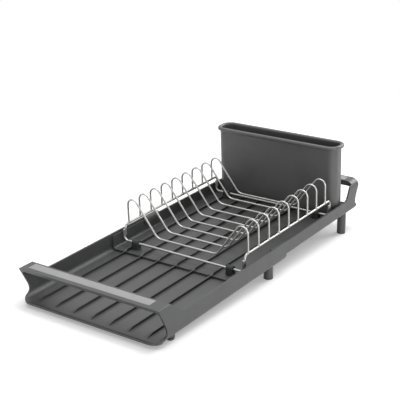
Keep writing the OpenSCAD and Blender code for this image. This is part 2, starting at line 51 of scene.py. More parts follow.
# Slope of the trays, height of their floor at the spout's lip, and the lip's distance from the middle
TILT = math.radians(2.6)
SPOUT_H = 0.0082
MIDDLE_Y = 0.2519038
TRAY_FRAME = Matrix.Translation((0.0, -MIDDLE_Y, SPOUT_H)) @ Matrix.Rotation(TILT, 4, "X")

# Distance at which vertices are one, and how edges are rounded: from which angle, with how many faces
MERGE = 1e-6
SHARP = math.radians(40.0)
ROUND_FACES = 2

# Coarse leather of a mould: its scale as a share of the fine pits' scale
LEATHER_SHARE = 0.45
# Noise levels between which clouds and scuffs fade in
CLOUD_SPAN: Span = (0.3, 0.7)
SCUFF_SPAN: Span = (0.66, 0.76)
# Scuffs: the turn and the fineness of each way that they run, and how they stretch along it
SCUFF_WAYS = ((0.35, 900.0), (-1.05, 700.0))
SCUFF_STRETCH = (14.0, 60.0)


class Slot(Enum):
    """Material slots of the record that the finishes stand for."""

    TRAY = "tray_plastic"
    CADDY = "caddy_plastic"
    INLAY = "inlay"
    RUBBER = "rubber"
    WIRE = "wire"


class Body(Enum):
    """Bodies that the added pieces ride on."""

    FRONT = "front"
    REAR = "rear"
    RACK = "rack"


class Side(Enum):
    """Left and right of someone who faces the spout, as a sign of X."""

    LEFT = -1.0
    RIGHT = 1.0

    @property
    def word(self) -> str:
        """The side as it stands in the names of nodes."""
        return self.name.lower()


@dataclass(frozen=True)
class RackSizes:
    """Places of the rack's wires in the frame of the sloping trays, in metres.

    Attributes:
        half: Distance of the rails from the middle.
        rail_r: Radius of the rails and cross wires.
        rail_z: Height of the rails.
        front_y: Where the rails' front ends turn down.
        rear_y: Where their rear ends turn down.
        gap: From a rail's end to the end of the cross wire beside it.
        first_y: Place of the first divider.
        pitch: From divider to divider.
        count: Number of dividers.
        rail_end_z: Height at which the rails end.
        wire_end_z: Height at which the cross wires end.
    """

    half: float = 0.101
    rail_r: float = 0.00165
    rail_z: float = 0.0342
    front_y: float = 0.203
    rear_y: float = 0.4313
    gap: float = 0.00332
    first_y: float = 0.2112
    pitch: float = 0.0257
    count: int = 9
    rail_end_z: float = 0.018125
    wire_end_z: float = 0.02755


RACK = RackSizes()


@dataclass
class Tree:
    """One node tree, with short calls that add and join its nodes."""

    tree: bpy.types.NodeTree

    def add(self, kind: str, sockets: dict | None = None, **settings: object) -> bpy.types.Node:
        """Adds a node.

        Args:
            kind: Blender's name of the node type, without its ShaderNode prefix.
            sockets: Input sockets by name or number, each with a value or a socket to join.
            settings: Properties of the node.

        Returns:
            The new node.
        """
        prefix = "" if kind.startswith("NodeGroup") else "ShaderNode"
        node = self.tree.nodes.new(prefix + kind)
        for name, value in settings.items():
            setattr(node, name, value)
        for name, value in (sockets or {}).items():
            if isinstance(value, Socket):
                self.tree.links.new(value, node.inputs[name])
            else:
                node.inputs[name].default_value = value
        return node

    def math(self, operation: str, *values: object, clamp: bool = False) -> Socket:
        """Adds a Math node.

        Args:
            operation: Name of the operation.
            values: Numbers or sockets that it takes, in order.
            clamp: Whether the result stays between 0 and 1.

        Returns:
            The socket with the result.
        """
        sockets = dict(enumerate(values))
        return self.add("Math", sockets, operation=operation, use_clamp=clamp).outputs[0]

    def product(self, first: object, *others: object) -> Socket:
        """Multiplies two or more values.

        Args:
            first: Number or socket.
            others: Numbers or sockets that it is multiplied with, in order.

        Returns:
            The socket with the result.
        """
        result = first
        for value in others:
            result = self.math("MULTIPLY", result, value)
        return result

    def ramp(self, value: object, low: float, high: float, out_low: float = 0.0,
             out_high: float = 1.0) -> Socket:
        """Maps one range of a value smoothly to another, and holds it at the ends.

        Args:
            value: Socket to map.
            low: Value that gives out_low.
            high: Value that gives out_high.
            out_low: Result at and below low.
            out_high: Result at and above high.

        Returns:
            The socket with the result.
        """
        node = self.add("MapRange", {0: value, 1: low, 2: high, 3: out_low, 4: out_high},
                        interpolation_type="SMOOTHSTEP")
        return node.outputs[0]

    def fade(self, value: object, low: float, high: float, full: float = 1.0) -> Socket:
        """Gives full at and below low, and sinks smoothly to nothing at high."""
        return self.ramp(value, low, high, full, 0.0)

    def blend(self, mask: object, first: object, second: object) -> Socket:
        """Mixes two colours.

        Args:
            mask: Socket or number, 0 for the first colour and 1 for the second.
            first: Colour or socket.
            second: Colour or socket.

        Returns:
            The socket with the mixed colour.
        """
        sockets = {0: mask, 6: rgba(first), 7: rgba(second)}
        return self.add("Mix", sockets, data_type="RGBA").outputs[2]


def rgba(colour: object) -> object:
    """Gives a plain colour its alpha, and passes a socket on as it is."""
    return colour if isinstance(colour, Socket) else (*colour, 1.0)


def empty_tree(owner: bpy.types.Material | bpy.types.World) -> Tree:
    """Switches on the nodes of a material or world, and clears them.

    Args:
        owner: Material or world.

    Returns:
        Its empty tree.
    """
    owner.use_nodes = True
    owner.node_tree.nodes.clear()
    return Tree(owner.node_tree)


def new_group(name: str, inputs: dict[str, tuple[str, object]],
              output: str) -> tuple[Tree, bpy.types.NodeOutputs, bpy.types.Node]:
    """Makes an empty node group with its sockets.

    Args:
        name: Name of the group.
        inputs: Socket type and default value by socket name.
        output: Name of its one output, a number.

    Returns:
        The group's tree, its inputs by name and its output node.
    """
    group = bpy.data.node_groups.new(name, "ShaderNodeTree")
    for title, (kind, value) in inputs.items():
        socket = group.interface.new_socket(title, in_out="INPUT", socket_type=kind)
        if value is not None:
            socket.default_value = value
    group.interface.new_socket(output, in_out="OUTPUT", socket_type="NodeSocketFloat")
    tree = Tree(group)
    return tree, tree.add("NodeGroupInput").outputs, tree.add("NodeGroupOutput")


class Effect(Enum):
    """Surface effects that several finishes share, each a node group."""

    GRAIN = "moulded_grain"
    CLOUDS = "tone_clouds"
    SCUFFS = "hairline_scuffs"

    def group(self) -> bpy.types.NodeTree:
        """Finds the effect's node group, and builds it the first time.

        Returns:
            The group.
        """
        found = bpy.data.node_groups.get(self.value)
        if found is not None:
            return found
        return {Effect.GRAIN: self._grain, Effect.CLOUDS: self._clouds,
                Effect.SCUFFS: self._scuffs}[self]()

    def place(self, tree: Tree, sockets: dict[str, object]) -> Socket:
        """Puts the effect into a material.

        Args:
            tree: Tree of the material.
            sockets: Values or links of the group's inputs, by name.

        Returns:
            The effect's output.
        """
        return tree.add("Group", sockets, node_tree=self.group()).outputs[0]

    def _grain(self) -> bpy.types.NodeTree:
        """Spark-eroded grain of a mould: fine pits over a slightly coarser leather.

        Returns:
            The new group.
        """
        tree, given, result = new_group(
            self.value,
            {"Place": ("NodeSocketVector", None), "Size": ("NodeSocketFloat", 0.0005),
             "Coarseness": ("NodeSocketFloat", 0.35)},
            "Height")
        scale = tree.math("DIVIDE", 1.0, given["Size"])
        fine = tree.add("TexNoise", {"Vector": given["Place"], "Scale": scale,
                                     "Detail": 2.0, "Roughness": 0.6})
        coarse = tree.add("TexVoronoi", {"Vector": given["Place"],
                                         "Scale": tree.product(scale, LEATHER_SHARE)},
                          feature="SMOOTH_F1")
        level = tree.product(coarse.outputs["Distance"], given["Coarseness"])
        tree.tree.links.new(tree.math("ADD", fine.outputs[0], level), result.inputs["Height"])
        return tree.tree

    def _clouds(self) -> bpy.types.NodeTree:
        """Slow change of tone where the plastic flowed and cooled.

        Returns:
            The new group.
        """
        tree, given, result = new_group(
            self.value,
            {"Place": ("NodeSocketVector", None), "Size": ("NodeSocketFloat", 0.05)},
            "Tone")
        scale = tree.math("DIVIDE", 1.0, given["Size"])
        slow = tree.add("TexNoise", {"Vector": given["Place"], "Scale": scale,
                                     "Detail": 3.0, "Roughness": 0.55, "Distortion": 0.6})
        tree.tree.links.new(tree.ramp(slow.outputs[0], *CLOUD_SPAN), result.inputs["Tone"])
        return tree.tree

    def _scuffs(self) -> bpy.types.NodeTree:
        """Hairline scuffs that run two ways, from what was set down and wiped.

        Returns:
            The new group.
        """
        tree, given, result = new_group(
            self.value,
            {"Place": ("NodeSocketVector", None), "Amount": ("NodeSocketFloat", 0.5)},
            "Mask")
        masks = []
        for turn, fineness in SCUFF_WAYS:
            way = tree.add("Mapping", {"Vector": given["Place"], "Rotation": (0.0, 0.0, turn),
                                       "Scale": (fineness, *SCUFF_STRETCH)})
            line = tree.add("TexNoise", {"Vector": way.outputs[0], "Scale": 1.0, "Detail": 1.0})
            masks.append(tree.ramp(line.outputs[0], *SCUFF_SPAN))
        both = tree.math("MAXIMUM", *masks)
        tree.tree.links.new(tree.product(both, given["Amount"]), result.inputs["Mask"])
        return tree.tree


@dataclass
class Surface:
    """Surface of a material while marks are laid on it.

    Attributes:
        tree: Tree of the material.
        place: Object coordinates.
        grain: Height of the grain.
        scuff: Mask of the scuffs.
        colour: Colour with the marks that are laid so far.
    """

    tree: Tree
    place: Socket
    grain: Socket
    scuff: Socket
    colour: Socket

    def lay(self, mask: Socket, colour: Colour) -> None:
        """Lays a colour over the surface where the mask is 1."""
        self.colour = self.tree.blend(mask, self.colour, colour)

    def tray_axes(self) -> tuple[Socket, Socket, Socket]:
        """Turns object coordinates into those of the sloping trays.

        Returns:
            Sockets of X across the tray, Y from the lip along its floor, and Z up from the floor.
        """
        start = TRAY_FRAME.inverted().translation
        flat = self.tree.add("Mapping", {"Vector": self.place, "Location": tuple(start),
                                         "Rotation": (-TILT, 0.0, 0.0)}, vector_type="POINT")
        axes = self.tree.add("SeparateXYZ", {0: flat.outputs[0]}).outputs
        return axes[0], axes[1], axes[2]


@dataclass(frozen=True)
class Finish:
    """Look of one material, in linear colour and metres.

    Attributes:
        name: Name of the material.
        slot: Material slot of the record that it stands for; not used.
        colour: Dark tone of its clouds.
        pale: Pale tone of its clouds, and of its specks.
        metallic: 1 for metal and 0 for the rest.
        roughness: Middle of its roughness.
        grain: Size of its fine pits.
        coarseness: Height of the leather under the pits, as a share of theirs.
        relief: Depth of the grain.
        cloud: Size of its clouds.
        scuffed: Strength of its scuffs.
        pits: Heights of the grain between which the roughness changes.
        swing: Change of roughness at each end of pits.
        scuff_rough: Change of roughness in a scuff.
        scuff_share: How much of a scuff's tone shows.
        scuff_shine: Tone of a scuff, as a multiple of pale.
        speck: Heights of the grain between which specks fade in.
        speck_share: How much of a speck's tone shows.
    """

    name: str
    slot: Slot
    colour: Colour
    pale: Colour
    metallic: float = 0.0
    roughness: float = 0.5
    grain: float = 0.0005
    coarseness: float = 0.35
    relief: float = 0.00003
    cloud: float = 0.06
    scuffed: float = 0.3
    pits: Span = (0.3, 0.9)
    swing: Span = (-0.05, 0.05)
    scuff_rough: float = -0.08
    scuff_share: float = 0.25
    scuff_shine: float = 1.5
    speck: Span = (0.45, 0.95)
    speck_share: float = 0.35

    def material(self) -> bpy.types.Material:
        """Finds the finish's material, and builds it the first time.

        Returns:
            The material.
        """
        found = bpy.data.materials.get(self.name)
        if found is not None:
            return found
        made = bpy.data.materials.new(self.name)
        tree = empty_tree(made)
        place = tree.add("TexCoord").outputs["Object"]
        grain = Effect.GRAIN.place(tree, {"Place": place, "Size": self.grain,
                                          "Coarseness": self.coarseness})
        tone = Effect.CLOUDS.place(tree, {"Place": place, "Size": self.cloud})
        scuff = Effect.SCUFFS.place(tree, {"Place": place, "Amount": self.scuffed})
        surface = Surface(tree, place, grain, scuff, tree.blend(tone, self.colour, self.pale))
        self.mark(surface)
        rough = tree.ramp(grain, *self.pits, *(self.roughness + change for change in self.swing))
        rough = tree.math("ADD", rough, tree.product(scuff, self.scuff_rough), clamp=True)
        bump = tree.add("Bump", {"Height": grain, "Strength": 1.0, "Distance": self.relief})
        shader = tree.add("BsdfPrincipled", {
            "Base Color": surface.colour, "Metallic": self.metallic, "Roughness": rough,
            "Normal": bump.outputs[0]})
        tree.add("OutputMaterial", {"Surface": shader.outputs[0]})
        return made

    def mark(self, surface: Surface) -> None:
        """Lays pale specks and scuffs.

        Args:
            surface: Surface that they are laid on.
        """
        speck = surface.tree.ramp(surface.grain, *self.speck, 0.0, self.speck_share)
        surface.lay(speck, self.pale)
        scuff = surface.tree.product(surface.scuff, self.scuff_share)
        surface.lay(scuff, tuple(self.scuff_shine * part for part in self.pale))


@dataclass(frozen=True)
class WireFinish(Finish):
    """Drawn stainless wire, with a slight tint where it was welded.

    Attributes:
        tint: Colour of the steel at a weld.
        heat: Heights over or under the welds between which the tint fades out.
        heat_share: How much of the tint shows.
    """

    metallic: float = 1.0
    coarseness: float = 0.1
    pits: Span = (0.3, 0.8)
    swing: Span = (-0.06, 0.08)
    scuff_rough: float = 0.1
    tint: Colour = (0.42, 0.40, 0.37)
    heat: Span = (0.0008, 0.0045)
    heat_share: float = 0.55

    def mark(self, surface: Surface) -> None:
        """Lays the tint of the welds that join the dividers to the rails.

        Args:
            surface: Surface that it is laid on.
        """
        tree = surface.tree
        up = surface.tray_axes()[2]
        off = tree.math("ABSOLUTE", tree.math("SUBTRACT", up, RACK.rail_z + RACK.rail_r))
        surface.lay(tree.fade(off, *self.heat, self.heat_share), self.tint)


@dataclass(frozen=True)
class RubberFinish(Finish):
    """Matt rubber with a little dust on what stands on the counter.

    Attributes:
        dust: Colour of the dust.
        dust_h: Height at which the dust ends.
        dust_cloud: Size of its clouds.
    """

    dust: Colour = (0.16, 0.16, 0.155)
    dust_h: float = 0.004
    dust_cloud: float = 0.004

    def mark(self, surface: Surface) -> None:
        """Lays the dust over specks and scuffs.

        Args:
            surface: Surface that it is laid on.
        """
        super().mark(surface)
        tree = surface.tree
        rise = tree.add("SeparateXYZ", {0: surface.place}).outputs[2]
        tone = Effect.CLOUDS.place(tree, {"Place": surface.place, "Size": self.dust_cloud})
        surface.lay(tree.product(tree.fade(rise, 0.0, self.dust_h), tone), self.dust)


@dataclass(frozen=True)
class TrayFinish(Finish):
    """Tray plastic, with painted shade on the flanks of the ribs and on the floor beside their feet,
    wider on their right.

    Attributes:
        deposit: Colour of the painted shade.
        floor_z: Height of the tray's floor.
        rib_top: Half the width of a rib's top.
        rib_foot: Half the width of its foot.
        rib_pitch: From rib to rib.
        rib_h: Height of the ribs over the floor.
        rib_start: Where the ribs start, from the lip.
        lee: How far the painted shade spreads over the floor on the ribs' right.
        luff: How far it spreads on their left.
        thin: Strength of what is spread.
        soft: Width over which the painted shade ends at a rib's foot and over the ribs.
        start_soft: Length over which it begins where the ribs start.
        crest: How far within the edge of a rib's top it begins, and is full.
        under: How far below the floor it begins, and is full.
    """

    deposit: Colour = (0.007, 0.007, 0.0075)
    floor_z: float = 0.0
    rib_top: float = 0.0012
    rib_foot: float = 0.0020
    rib_pitch: float = 0.0295
    rib_h: float = 0.0026
    rib_start: float = 0.0065
    lee: float = 0.0078
    luff: float = 0.0025
    thin: float = 0.8
    soft: float = 0.001
    start_soft: float = 0.004
    crest: Span = (0.0007, 0.0001)
    under: Span = (0.0008, 0.0002)

    def mark(self, surface: Surface) -> None:
        """Lays the painted shade over specks and scuffs.

        Args:
            surface: Surface that it is laid on.
        """
        super().mark(surface)
        tree = surface.tree
        across, along, up = surface.tray_axes()
        # Painted shade: the flanks of each rib and the floor beside its feet are darkened, further on
        # its right than on its left.
        aside = tree.math("WRAP", across, self.rib_pitch / 2, -self.rib_pitch / 2)
        away = tree.math("ABSOLUTE", aside)
        flank = tree.fade(away, self.rib_foot, self.rib_foot + self.soft)
        lee = tree.fade(aside, self.rib_foot, self.rib_foot + self.lee, self.thin)
        luff = tree.ramp(aside, -self.rib_foot - self.luff, -self.rib_foot, 0.0, self.thin)
        rib_z = self.floor_z + self.rib_h
        mask = tree.product(
            tree.math("MAXIMUM", flank, tree.math("MINIMUM", lee, luff)),
            tree.ramp(away, *(self.rib_top - within for within in self.crest)),
            tree.ramp(up, *(self.floor_z - below for below in self.under)),
            tree.fade(up, rib_z, rib_z + self.soft),
            tree.ramp(along, self.rib_start, self.rib_start + self.start_soft))
        surface.lay(mask, self.deposit)


@dataclass(frozen=True)
class LipFinish(TrayFinish):
    """Front tray's plastic: painted light makes the drip bead and the floor behind it paler, with a
    line of painted shade behind the bead.

    Attributes:
        line_y: Where the line of painted shade runs, from the lip.
        line_half: Half its width, and the width of its soft edges.
        line_share: How much of it shows.
        line_end: Distances from the middle between which it fades out.
        shoulder: Heights between which the bead gives way to the floor.
        rubbed: Paler colour of the painted light on the bead and on the floor behind it.
        bead_end: Distances from the lip between which the painted light on the bead ends.
        worn_start: Distances from the lip between which the painted light on the floor begins.
        worn_end: Distances from the lip between which it ends.
        worn_top: Heights between which it ends on the ribs.
        worn_share: How much of it shows.
    """

    line_y: float = 0.0019
    line_half: float = 0.0007
    line_share: float = 0.6
    line_end: Span = (0.094, 0.1)
    shoulder: Span = (-0.0012, -0.0004)
    rubbed: Colour = (0.092, 0.093, 0.094)
    bead_end: Span = (0.003, 0.0045)
    worn_start: Span = (0.0035, 0.006)
    worn_end: Span = (0.008, 0.03)
    worn_top: Span = (0.0002, 0.0012)
    worn_share: float = 0.4

    def mark(self, surface: Surface) -> None:
        """Lays the line of painted shade and the painted light over the tray's marks.

        Args:
            surface: Surface that they are laid on.
        """
        super().mark(surface)
        tree = surface.tree
        across, along, up = surface.tray_axes()
        # Painted shade: a dark line along the floor just behind the bead.
        off = tree.math("ABSOLUTE", tree.math("SUBTRACT", along, self.line_y))
        line = tree.product(
            tree.fade(off, self.line_half, 2 * self.line_half, self.line_share),
            tree.ramp(up, *self.shoulder),
            tree.fade(tree.math("ABSOLUTE", across), *self.line_end))
        surface.lay(line, self.deposit)
        # Painted light: the bead and the floor behind the lip are laid paler.
        bead = tree.product(tree.fade(up, *self.shoulder), tree.fade(along, *self.bead_end))
        painted_floor_light = tree.product(
            tree.ramp(along, *self.worn_start),
            tree.fade(along, *self.worn_end, self.worn_share),
            tree.fade(up, *self.worn_top))
        surface.lay(tree.math("MAXIMUM", bead, painted_floor_light), self.rubbed)


TRAY_PLASTIC = LipFinish("charcoal_tray_plastic", Slot.TRAY, (0.053, 0.054, 0.055),
                         (0.066, 0.067, 0.068), roughness=0.40)
REAR_PLASTIC = TrayFinish("charcoal_rear_plastic", Slot.TRAY, (0.053, 0.054, 0.055),
                          (0.066, 0.067, 0.068), roughness=0.40, floor_z=0.0028,
                          rib_top=0.0024, rib_foot=0.0032)
# The caddy is the trays' charcoal plastic, made paler over the whole caddy to stand for the light it
# catches: painted light.
CADDY_PLASTIC_PAINTED_LIGHT = Finish("charcoal_caddy_plastic", Slot.CADDY, (0.092, 0.093, 0.094),
                       (0.110, 0.111, 0.112), roughness=0.38, grain=0.0004)
INLAY_STRIP = Finish("pale_grey_strip", Slot.INLAY, (0.27, 0.272, 0.27), (0.31, 0.312, 0.31),
                     roughness=0.38, grain=0.0003, relief=0.00002, cloud=0.03)
FOOT_RUBBER = RubberFinish("foot_rubber", Slot.RUBBER, (0.026, 0.027, 0.029),
                           (0.034, 0.035, 0.037), roughness=0.72, grain=0.0006,
                           relief=0.00004, cloud=0.01, scuffed=0.1)
STEEL_WIRE = WireFinish("drawn_steel_wire", Slot.WIRE, (0.41, 0.41, 0.40), (0.48, 0.48, 0.47),
                        roughness=0.38, grain=0.00025, relief=0.000008, cloud=0.02, scuffed=0.6)


def put(name: str, data: bpy.types.ID) -> bpy.types.Object:
    """Adds an object to the scene.

    Args:
        name: Name of the object.
        data: Its mesh, lamp or camera.

    Returns:
        The new object.
    """
    made = bpy.data.objects.new(name, data)
    bpy.context.scene.collection.objects.link(made)
    return made


def settle(shape: bmesh.types.BMesh, name: str) -> bpy.types.Mesh:
    """Makes a mesh of a bmesh, and frees the bmesh.

    Args:
        shape: Finished shape.
        name: Name of the mesh.

    Returns:
        The new mesh.
    """
    mesh = bpy.data.meshes.new(name)
    shape.to_mesh(mesh)
    shape.free()
    return mesh


def loop_edges(ring: list[bmesh.types.BMVert]) -> list[bmesh.types.BMEdge]:
    """Lists the edges between the vertices of a ring, each once."""
    return list(dict.fromkeys(e for v in ring for e in v.link_edges if e.other_vert(v) in ring))


def grown_verts(grown: dict[str, list]) -> list[bmesh.types.BMVert]:
    """Picks the new vertices out of what an extrusion returns."""
    return [v for v in grown["geom"] if isinstance(v, bmesh.types.BMVert)]


def dress(node: str, finish: Finish) -> None:
    """Gives a CAD node its finish.

    Args:
        node: Name of the node.
        finish: Finish that it takes.
    """
    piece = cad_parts[node]
    piece.data.materials.clear()
    piece.data.materials.append(finish.material())
    LOG.info("%s: %s, %d faces", node, finish.name, len(piece.data.polygons))


def round_edges(piece: bpy.types.Object, width: float) -> None:
    """Rounds a piece's sharp edges with live modifiers.

    Args:
        piece: Piece or CAD node.
        width: Width of the rounding in metres.
    """
    weld = piece.modifiers.new("weld", "WELD")
    weld.merge_threshold = MERGE
    bevel = piece.modifiers.new("edges", "BEVEL")
    bevel.width = width
    bevel.segments = ROUND_FACES
    bevel.limit_method = "ANGLE"
    bevel.angle_limit = SHARP
    bevel.use_clamp_overlap = True


def keep(shape: bmesh.types.BMesh, name: str, finish: Finish, body: Body) -> bpy.types.Object:
    """Makes a finished piece of a bmesh, and lets it ride on its body.

    Args:
        shape: Shape of the piece, in the part's frame.
        name: Name of the piece.
        finish: Finish that it takes.
        body: Body that it rides on.

    Returns:
        The new piece.
    """
    bmesh.ops.recalc_face_normals(shape, faces=shape.faces)
    mesh = settle(shape, name)
    mesh.shade_smooth()
    mesh.materials.append(finish.material())
    piece = put(name, mesh)
    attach(piece, body.value)
    LOG.info("%s: %s, %d faces", name, finish.name, len(mesh.polygons))
    return piece


@dataclass
class Trays:
    """The two nested trays with their handles and inlay strips.

    Attributes:
        half: Half the front tray's width.
        lip_r: Radius of its lip's corners, seen from above.
        edge_r: Radius of its lower edges, along its sides.
        floor_t: Thickness of its floor.
        bead_r: Radius of the drip bead.
        bead_rise: How much of the lower edge's rise the bead's ends follow.
        waist_z: Height up to which the lip's corners are rounded.
        rear_half: Half the rear tray's width.
        rear_handle_r: Radius of the rear handle's upper corners.
        rear_handle_h: Height of the rear handle.
        rear_handle_y: Where the rear handle ends.
        rear_gusset_y: Where the slope up to it starts.
        spare: How far what is cut away reaches past the tray.
        corner_steps: Number of steps round a corner.
        fade_steps: Number of steps in which the bead's ends thin out.
        bead_sides: Number of sides of the bead.
        bead_fade: Size of the bead's end after each of those steps, as a share.
        crease: Angle from which an edge of the trays is shaded sharp.
        edge: Rounding of the trays' edges.
        strip_edge: Rounding of the strips' edges.
    """

    half: float = 0.113
    lip_r: float = 0.018
    edge_r: float = 0.007
    floor_t: float = 0.0025
    bead_r: float = 0.002
    bead_rise: float = 0.75
    waist_z: float = 0.0085
    rear_half: float = 0.1101
    rear_handle_r: float = 0.012
    rear_handle_h: float = 0.0468
    rear_handle_y: float = 0.506
    rear_gusset_y: float = 0.478
    spare: float = 0.01
    corner_steps: int = 24
    fade_steps: int = 7
    bead_sides: int = 20
    bead_fade: float = 0.74
    crease: float = math.radians(24.0)
    edge: float = 0.0004
    strip_edge: float = 0.0003

    def build(self) -> None:
        """Rounds the corners of lip and handle, and dresses the trays and their inlays."""
        self.shell("front_tray", TRAY_PLASTIC, Body.FRONT, [self.lip_waste(), self.bead_waste()])
        keep(self.lip_bead(), "lip_bead", TRAY_PLASTIC, Body.FRONT)
        self.shell("rear_tray", REAR_PLASTIC, Body.REAR, [self.handle_waste()])
        for node in ("front_handle_inlay", "rear_handle_inlay"):
            dress(node, INLAY_STRIP)
            round_edges(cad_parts[node], self.strip_edge)

    def shell(self, node: str, finish: Finish, body: Body,
              wastes: list[bmesh.types.BMesh]) -> None:
        """Replaces a tray with a copy whose corners are cut to their full round.

        Args:
            node: Name of the tray's node.
            finish: Finish that it takes.
            body: Body that it rides on.
            wastes: Closed shapes to take away.
        """
        shape = bmesh.new()
        shape.from_mesh(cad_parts[node].data)
        bmesh.ops.remove_doubles(shape, verts=shape.verts, dist=MERGE)
        piece = keep(shape, f"{node}_shell", finish, body)
        for waste in wastes:
            self.cut(piece, waste)
        piece.data.set_sharp_from_angle(angle=self.crease)
        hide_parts(node)
        round_edges(piece, self.edge)
        flat = piece.modifiers.new("flat_faces", "WEIGHTED_NORMAL")
        flat.keep_sharp = True

    def cut(self, piece: bpy.types.Object, waste: bmesh.types.BMesh) -> None:
        """Takes a closed shape away from a piece.

        Args:
            piece: Piece to cut.
            waste: Shape to take away, in the frame of the sloping trays.
        """
        bmesh.ops.recalc_face_normals(waste, faces=waste.faces)
        bmesh.ops.transform(waste, matrix=TRAY_FRAME, verts=waste.verts)
        cutter = put("cutter", settle(waste, "cutter"))
        cut = piece.modifiers.new("cut", "BOOLEAN")
        cut.operation = "DIFFERENCE"
        cut.solver = "EXACT"
        cut.object = cutter
        ready = piece.evaluated_get(bpy.context.evaluated_depsgraph_get())
        piece.data = bpy.data.meshes.new_from_object(ready)
        piece.modifiers.clear()
        bpy.data.objects.remove(cutter)

    def bead_waste(self) -> bmesh.types.BMesh:
        """The straight ends of the drip bead, which the turned ends take the place of.

        Returns:
            Both ends as closed blocks.
        """
        shape = bmesh.new()
        low = Vector((self.half - self.lip_r, -self.spare, -self.spare))
        high = Vector((self.half, 2 * self.bead_r + self.edge, -self.floor_t))
        for side in Side:
            middle = (low + high) / 2
            middle.x *= side.value
            block = Matrix.Translation(middle) @ Matrix.Diagonal((*(high - low), 1.0))
            bmesh.ops.create_cube(shape, size=1.0, matrix=block)
        return shape

    def lip_waste(self) -> bmesh.types.BMesh:
        """What lies outside the rounds of the lip's corners, below the walls' waist."""
        place = Matrix.Translation((0.0, 0.0, -self.spare))
        return self.corner_waste(self.half, self.lip_r, self.spare + self.waist_z, place)

    def handle_waste(self) -> bmesh.types.BMesh:
        """What lies outside the rounds of the rear handle's two upper corners."""
        place = (Matrix.Translation((0.0, self.rear_gusset_y, self.rear_handle_h))
                 @ Matrix.Rotation(-math.pi / 2, 4, "X"))
        return self.corner_waste(self.rear_half, self.rear_handle_r,
                                 self.rear_handle_y + self.spare - self.rear_gusset_y, place)

    def corner_waste(self, half: float, radius: float, depth: float,
                     place: Matrix) -> bmesh.types.BMesh:
        """What lies outside two rounded corners, at the ends of an edge along X.

        Args:
            half: Half the length of the edge.
            radius: Radius of the corners.
            depth: How deep the corners are cut, along Z.
            place: Where the middle of the edge goes.

        Returns:
            Both corners as closed shapes.
        """
        shape = bmesh.new()
        far = half + self.spare
        for side in Side:
            inner = half - radius
            ring = [Vector((inner, 0.0)), Vector((inner, -self.spare)), Vector((far, -self.spare)),
                    Vector((far, radius)), Vector((half, radius))]
            for step in range(1, self.corner_steps):
                turn = math.pi / 2 * step / self.corner_steps
                ring.append(Vector((inner + radius * math.cos(turn),
                                    radius - radius * math.sin(turn))))
            corners = [shape.verts.new((side.value * v.x, v.y, 0.0)) for v in ring]
            grown = bmesh.ops.extrude_face_region(shape, geom=[shape.faces.new(corners)])
            bmesh.ops.translate(shape, verts=grown_verts(grown), vec=(0.0, 0.0, depth))
        bmesh.ops.transform(shape, matrix=place, verts=shape.verts)
        return shape

    def rise(self, x: float) -> float:
        """How far the bead rises with the tray's rounded lower edge.

        Args:
            x: Distance from the tray's middle.

        Returns:
            The rise.
        """
        past = min(max(abs(x) - (self.half - self.edge_r), 0.0), self.edge_r)
        return self.bead_rise * (self.edge_r - math.sqrt(self.edge_r ** 2 - past ** 2))

    def lip_bead(self) -> bmesh.types.BMesh:
        """Ends of the drip bead, which turn round the lip's corners and fade out.

        Returns:
            Both ends as one shape.
        """
        shape = bmesh.new()
        for side in Side:
            self.turn_bead(shape, side)
        bmesh.ops.transform(shape, matrix=TRAY_FRAME, verts=shape.verts)
        return shape

    def turn_bead(self, shape: bmesh.types.BMesh, side: Side) -> None:
        """Grows one end of the drip bead round its corner, in steps.

        Args:
            shape: Shape that it is added to.
            side: Side of the tray.
        """
        pivot = Vector((side.value * (self.half - self.lip_r), self.lip_r, -self.bead_r))
        centre = pivot + Vector((0.0, self.bead_r - self.lip_r, 0.0))
        start = Matrix.Translation(centre) @ Matrix.Rotation(math.pi / 2, 4, "Y")
        ring = bmesh.ops.create_circle(shape, cap_ends=True, segments=self.bead_sides,
                                       radius=self.bead_r, matrix=start)["verts"]
        turn = (Matrix.Translation(pivot)
                @ Matrix.Rotation(side.value * math.pi / 2 / self.corner_steps, 4, "Z")
                @ Matrix.Translation(-pivot))
        for step in range(self.corner_steps):
            ring = grown_verts(bmesh.ops.extrude_edge_only(shape, edges=loop_edges(ring)))
            bmesh.ops.transform(shape, matrix=turn, verts=ring)
            before = self.rise(centre.x)
            centre = turn @ centre
            lift = Vector((0.0, 0.0, self.rise(centre.x) - before))
            bmesh.ops.translate(shape, verts=ring, vec=lift)
            centre += lift
            if step >= self.corner_steps - self.fade_steps:
                bmesh.ops.scale(shape, vec=[self.bead_fade] * 3,
                                space=Matrix.Translation(-centre), verts=ring)
        bmesh.ops.contextual_create(shape, geom=loop_edges(ring))


@dataclass
class Feet:
    """The feet, legs and pads that carry the trays."""

    def build(self) -> None:
        """Dresses the six feet and their rubber."""
        for side in Side:
            dress(f"front_foot_{side.word}", FOOT_RUBBER)
            for carrier in ("mid_foot", "rear_leg"):
                dress(f"{carrier}_{side.word}", TRAY_PLASTIC)
                dress(f"{carrier}_pad_{side.word}", FOOT_RUBBER)


